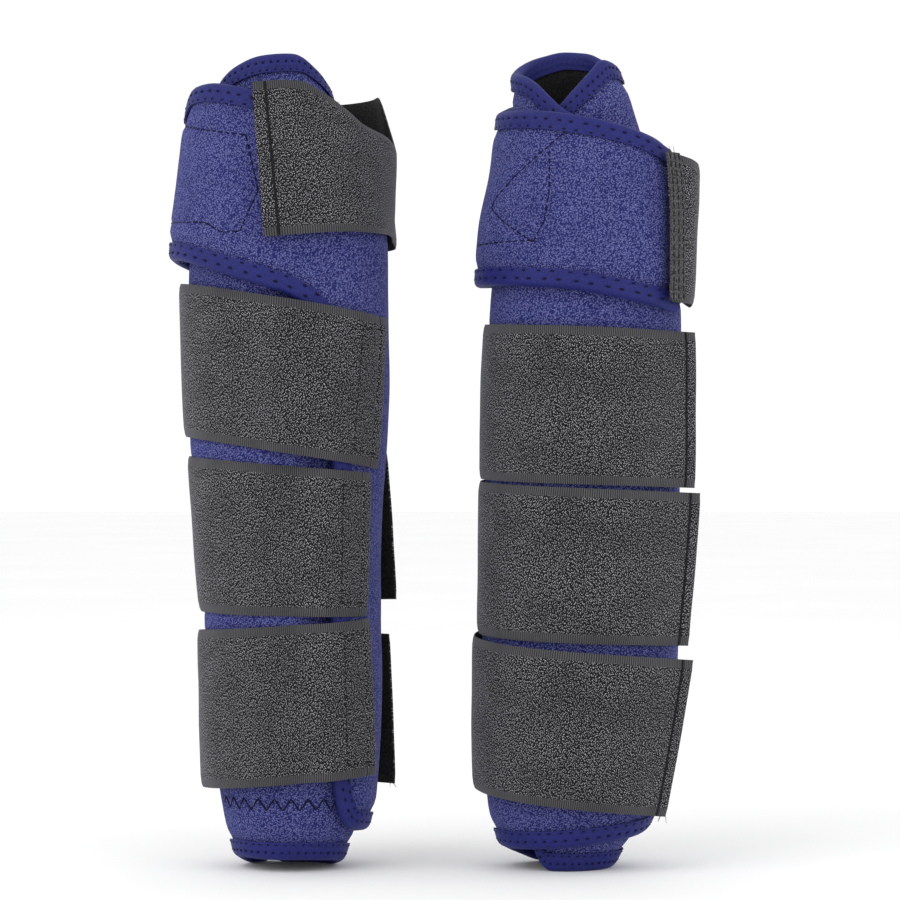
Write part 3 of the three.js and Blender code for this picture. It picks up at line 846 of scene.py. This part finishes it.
def make_strap(boot, spec):
    """A strap as one length of tape from its sewn start to its tip."""
    start, tip = spec["start"], spec["tip"]
    length = (sum(tip) - sum(start)) / 2 * TAPE_MM_PER_DEGREE
    low, high = (edge(sum(start) / 2) for edge in spec["edges"])
    width = high - low
    spec["size"] = (length, width)
    columns = spaced(0, 1, 1.6 / length, [d / length for d in (0, 0.4, 1.2, 3.6, 4.4, 5, 5.6, 6.4)])
    across = spaced(0, 1, 0.05, [0, 0.006, 0.02, 0.066, 0.086])

    def point(i, j, face):
        s, v = columns[i], across[j]
        rim = min(v, 1 - v) * width
        end = min(s, 1 - s) * length
        thick = STRAP / 2 * mix(0.45, 1.0, smoothstep(min(rim, end * 1.5), 0, 1.2))
        if face > 0:
            thick -= 0.3 * (1 - smoothstep(rim, SELVEDGE - 0.7, SELVEDGE + 0.3))
            thick += 0.35 * (1 - smoothstep(end, HEM_SEAM - 0.6, HEM_SEAM + 0.6))
            thick -= 0.5 * bell(end - HEM_SEAM, 0.5)
        return on_strap(boot, spec, s, v, face * thick + softness(boot, spec, s, v))

    layers = {
        "weave": lambda i, j: (columns[i] * length, across[j] * width),
        "edge": lambda i, j: (min(across[j], 1 - across[j]) * width, (1 - columns[i]) * length),
    }
    name = f"{boot['name']}_{spec['name']}"
    piece = sheet_object(name, boot, len(columns), len(across), point, LOOP, layers=layers, back=HOOKS)
    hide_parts(f"{name}_band", f"{name}_tail")
    return piece, width * MM, length * MM


def strap_seam(boot, spec, points):
    """The stitches along a line of (s, v) points on a strap's outer face."""
    runs = []
    length, width = spec["size"]

    def on_face(spot):
        w = STRAP / 2 - 0.05 + softness(boot, spec, spot.x, spot.y)
        return on_strap(boot, spec, spot.x, spot.y, w)

    for a, b in zip(points, points[1:]):
        a, b = Vector(a), Vector(b)
        reach = math.hypot((b.x - a.x) * length, (b.y - a.y) * width)
        for ends in dashes(reach):
            runs.append((*(on_face(a.lerp(b, end / reach)) for end in ends), SEAM_THREAD * MM))
    return runs


def box_seam(spec):
    """The line of the box of stitches that holds a strap's start."""
    length, width = spec["size"]
    s0, s1, v0 = 4 / length, 15 / length, 5.6 / width
    v1 = 1 - v0
    return [(s0, v0), (s0, v1), (s1, v1), (s1, v0), (s0, v0)]


def tip_seam(spec):
    """The line of stitches along a strap's turned-in tip."""
    length, width = spec["size"]
    s, v = 1 - HEM_SEAM / length, 0.8 / width
    return [(s, v), (s, 1 - v)]


def frayed_threads(boot, spec):
    """Ends of thread that hang from the corners of a strap's cut ends."""
    length, width = spec["size"]
    draw = random.Random(spec["name"] + boot["name"])
    runs = []
    for s, v in spec["frayed"]:
        for _ in range(3):
            along = (draw.uniform(-4, 0) if s else draw.uniform(0, 4)) / length
            heading = Vector((draw.uniform(-0.9, 0.9), 1 if v else -1)).normalized()
            at = Vector((along * length, 0))
            before = None
            for step in range(5):
                spot = on_strap(boot, spec, s + at.x / length, v + at.y / width, STRAP * (0.3 + 0.15 * step))
                if before is not None:
                    runs.append((before, spot, (0.14 - 0.015 * step) * MM))
                before = spot
                heading = (heading + Vector((draw.uniform(-0.5, 0.5), draw.uniform(-0.3, 0.3)))).normalized()
                at += heading * draw.uniform(0.35, 0.8)
    return runs


def make_hook(boot, spec):
    """The patch of hook tape under a strap's tail."""
    hook = spec["hook"]
    length = (hook[1] - hook[0]) * TAPE_MM_PER_DEGREE
    low, high = (edge(sum(hook) / 2) for edge in spec["edges"])
    margin = 3 / (high - low)
    columns = spaced(0, 1, 2 / length, [0, 0.5 / length])
    across = spaced(margin, 1 - margin, 0.06, [0, 0.01])
    under = STRAP / 2 + HOOK_GAP + HOOK / 2

    def point(i, j, face):
        s = (mix(hook[0], hook[1], columns[i]) - spec["start"][0]) / (spec["tip"][0] - spec["start"][0])
        w = face * HOOK / 2 - under + softness(boot, spec, s, across[j])
        return on_strap(boot, spec, columns[i], across[j], w, (2 * [hook[0]], 2 * [hook[1]]))

    name = f"{boot['name']}_{spec['name']}"
    piece = sheet_object(f"{name}_hooks", boot, len(columns), len(across), point, HOOKS)
    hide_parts(f"{name}_hook")
    return piece, (high - low - 6) * MM, length * MM


SEAM_TAPE = (-3, 7)  # winding angles, from a sling strap's start, of the tape over its seam
SEAM_TAPE_ROWS = (-1.4, 2, 5.4)  # and of its three seams
SEAM_TAPE_LEVEL = STRAP / 2 + 0.55 + 0.3  # of its middle outwards from the strap's


def make_seam_tape(boot, spec):
    """The tape that is sewn over the sling strap's start, and its three seams."""
    start = spec["start"][0]
    us = spaced(start + SEAM_TAPE[0], start + SEAM_TAPE[1], 1.2, [0, 0.5])
    across = spaced(0.01, 0.99, 0.04, [0, 0.01])
    low, high = (edge(start) for edge in spec["edges"])

    level = ON_WING + SEAM_TAPE_LEVEL + clearance(boot, low, high)

    def place(u, v, w):
        z = mix(low, high, v)
        return place_on(boot, u, z, level + w + 0.15 * math.sin(z * 0.9))

    def point(i, j, face):
        return place(us[i], across[j], face * 0.45)

    name = boot["name"]
    piece = sheet_object(f"{name}_seam_tape", boot, len(us), len(across), point, SEAM_CLOTH)
    runs = []
    for row in SEAM_TAPE_ROWS:
        for stitch in dashes(high - low - 2):
            ends = [(end + 1) / (high - low) for end in stitch]
            runs.append((*(place(start + row, end, 0.53) for end in ends), SEAM_THREAD * MM))
    return piece, runs, (high - low) * MM


def make_wing_patch(boot):
    """The patch of hook tape on the inside of the wing."""
    us = spaced(*WING_PATCH["across"], 3)
    zs = spaced(*WING_PATCH["up"], 4)

    def point(i, j, face):
        u, z = us[i], zs[j]
        w = -PANEL / 2 - 0.3 - (0 if face > 0 else 0.8)
        return place_on(boot, u, z, w + sway(boot, u, z))

    name = boot["name"]
    piece = sheet_object(f"{name}_wing_hooks", boot, len(us), len(zs), point, HOOKS)
    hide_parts(f"{name}_wing_patch")
    return piece


# ------------------------------------------------------------------- the pair


def make_boot(boot):
    prepare(boot)
    name = boot["name"]
    body = f"{name}_boot"
    panel, lining = make_panel(boot)
    edge_nodes = ["hem_binding", "flap_binding", "inner_edge_binding"]
    edge = make_binding(boot, "edge_tape", boot["edge"], 1, edge_nodes)
    top = make_binding(boot, "top_tape", boot["top"], -1, ["top_binding"])
    threads = binding_stitches(boot)
    seams = seam_stitches(boot)
    patch = make_wing_patch(boot)
    fixed, sewn = [], []
    for spec in boot["straps"]:
        piece, width, length = make_strap(boot, spec)
        hinge = next(j for j in frame["joints"] if j["name"] == f"{name}_{spec['name']}_open")
        at = Vector(hinge["pos_m"])
        tail = f"{name}_{spec['name']}_tail"
        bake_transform(piece)
        hook, width, length = make_hook(boot, spec)
        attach(hook, tail)
        loose = strap_seam(boot, spec, tip_seam(spec)) + frayed_threads(boot, spec)
        tip = capsules(f"{name}_{spec['name']}_tip_stitches", loose, GREY_THREAD)
        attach(tip, tail)
        if spec["over_wing"]:
            sewn += strap_seam(boot, spec, box_seam(spec))
        else:
            tape, runs, height = make_seam_tape(boot, spec)
            sewn += runs
            fixed.append((tape, "strap_tape"))
    stitches = capsules(f"{name}_strap_stitches", sewn, GREY_THREAD)
    fixed += [(panel, "loop_neoprene"), (lining, "lining"), (edge, "binding"), (top, "binding"),
              (patch, "hook_tape"), (threads, "binding"), (seams, "binding"), (stitches, "strap_tape")]
    for piece, slot in fixed:
        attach(piece, body)


for boot in (LEFT, RIGHT):
    make_boot(boot)

# ------------------------------------------------------ floor, light and camera

CAMERA_DISTANCE = 1.4
FRAME_WIDTH = 0.369
AIM = Vector((0.006, 0, 0.1706))


def area_light(name, at, target, size, power):
    light = bpy.data.lights.new(name, "AREA")
    light.shape = "RECTANGLE"
    light.size, light.size_y = size
    light.energy = power
    obj = bpy.data.objects.new(name, light)
    obj.location = at
    obj.rotation_euler = (Vector(target) - Vector(at)).to_track_quat("-Z", "Y").to_euler()
    bpy.context.scene.collection.objects.link(obj)


floor = mesh_object("floor", [(-8, -8, 0), (8, -8, 0), (8, 8, 0), (-8, 8, 0)], [[0, 1, 2, 3]],
                    plain_fabric("floor", colour(248, 248, 248), colour(250, 250, 250), 3, 0.00001, 0.9))
floor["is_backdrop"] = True

world = bpy.data.worlds.new("studio")
world.use_nodes = True
world.node_tree.nodes["Background"].inputs[0].default_value = (1, 1, 1, 1)
world.node_tree.nodes["Background"].inputs[1].default_value = 1.02
bpy.context.scene.world = world
area_light("key", (-1.2, -1.2, 1.0), (0, 0, 0.17), (1.6, 1.8), 13)
area_light("fill", (1.3, -1.0, 0.4), (0, 0, 0.17), (1.2, 1.4), 7)

camera = bpy.data.cameras.new("camera")
camera.lens = 36 * CAMERA_DISTANCE / FRAME_WIDTH
camera_object = bpy.data.objects.new("camera", camera)
camera_object.location = AIM - Vector((0, CAMERA_DISTANCE, 0))
camera_object.rotation_euler = (math.radians(90), 0, 0)
bpy.context.scene.collection.objects.link(camera_object)
bpy.context.scene.camera = camera_object
bpy.context.scene.view_settings.view_transform = "Standard"

bpy.context.view_layer.update()
boxes = [[list(corner) for corner in box] for box in (CAD_BOX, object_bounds())]
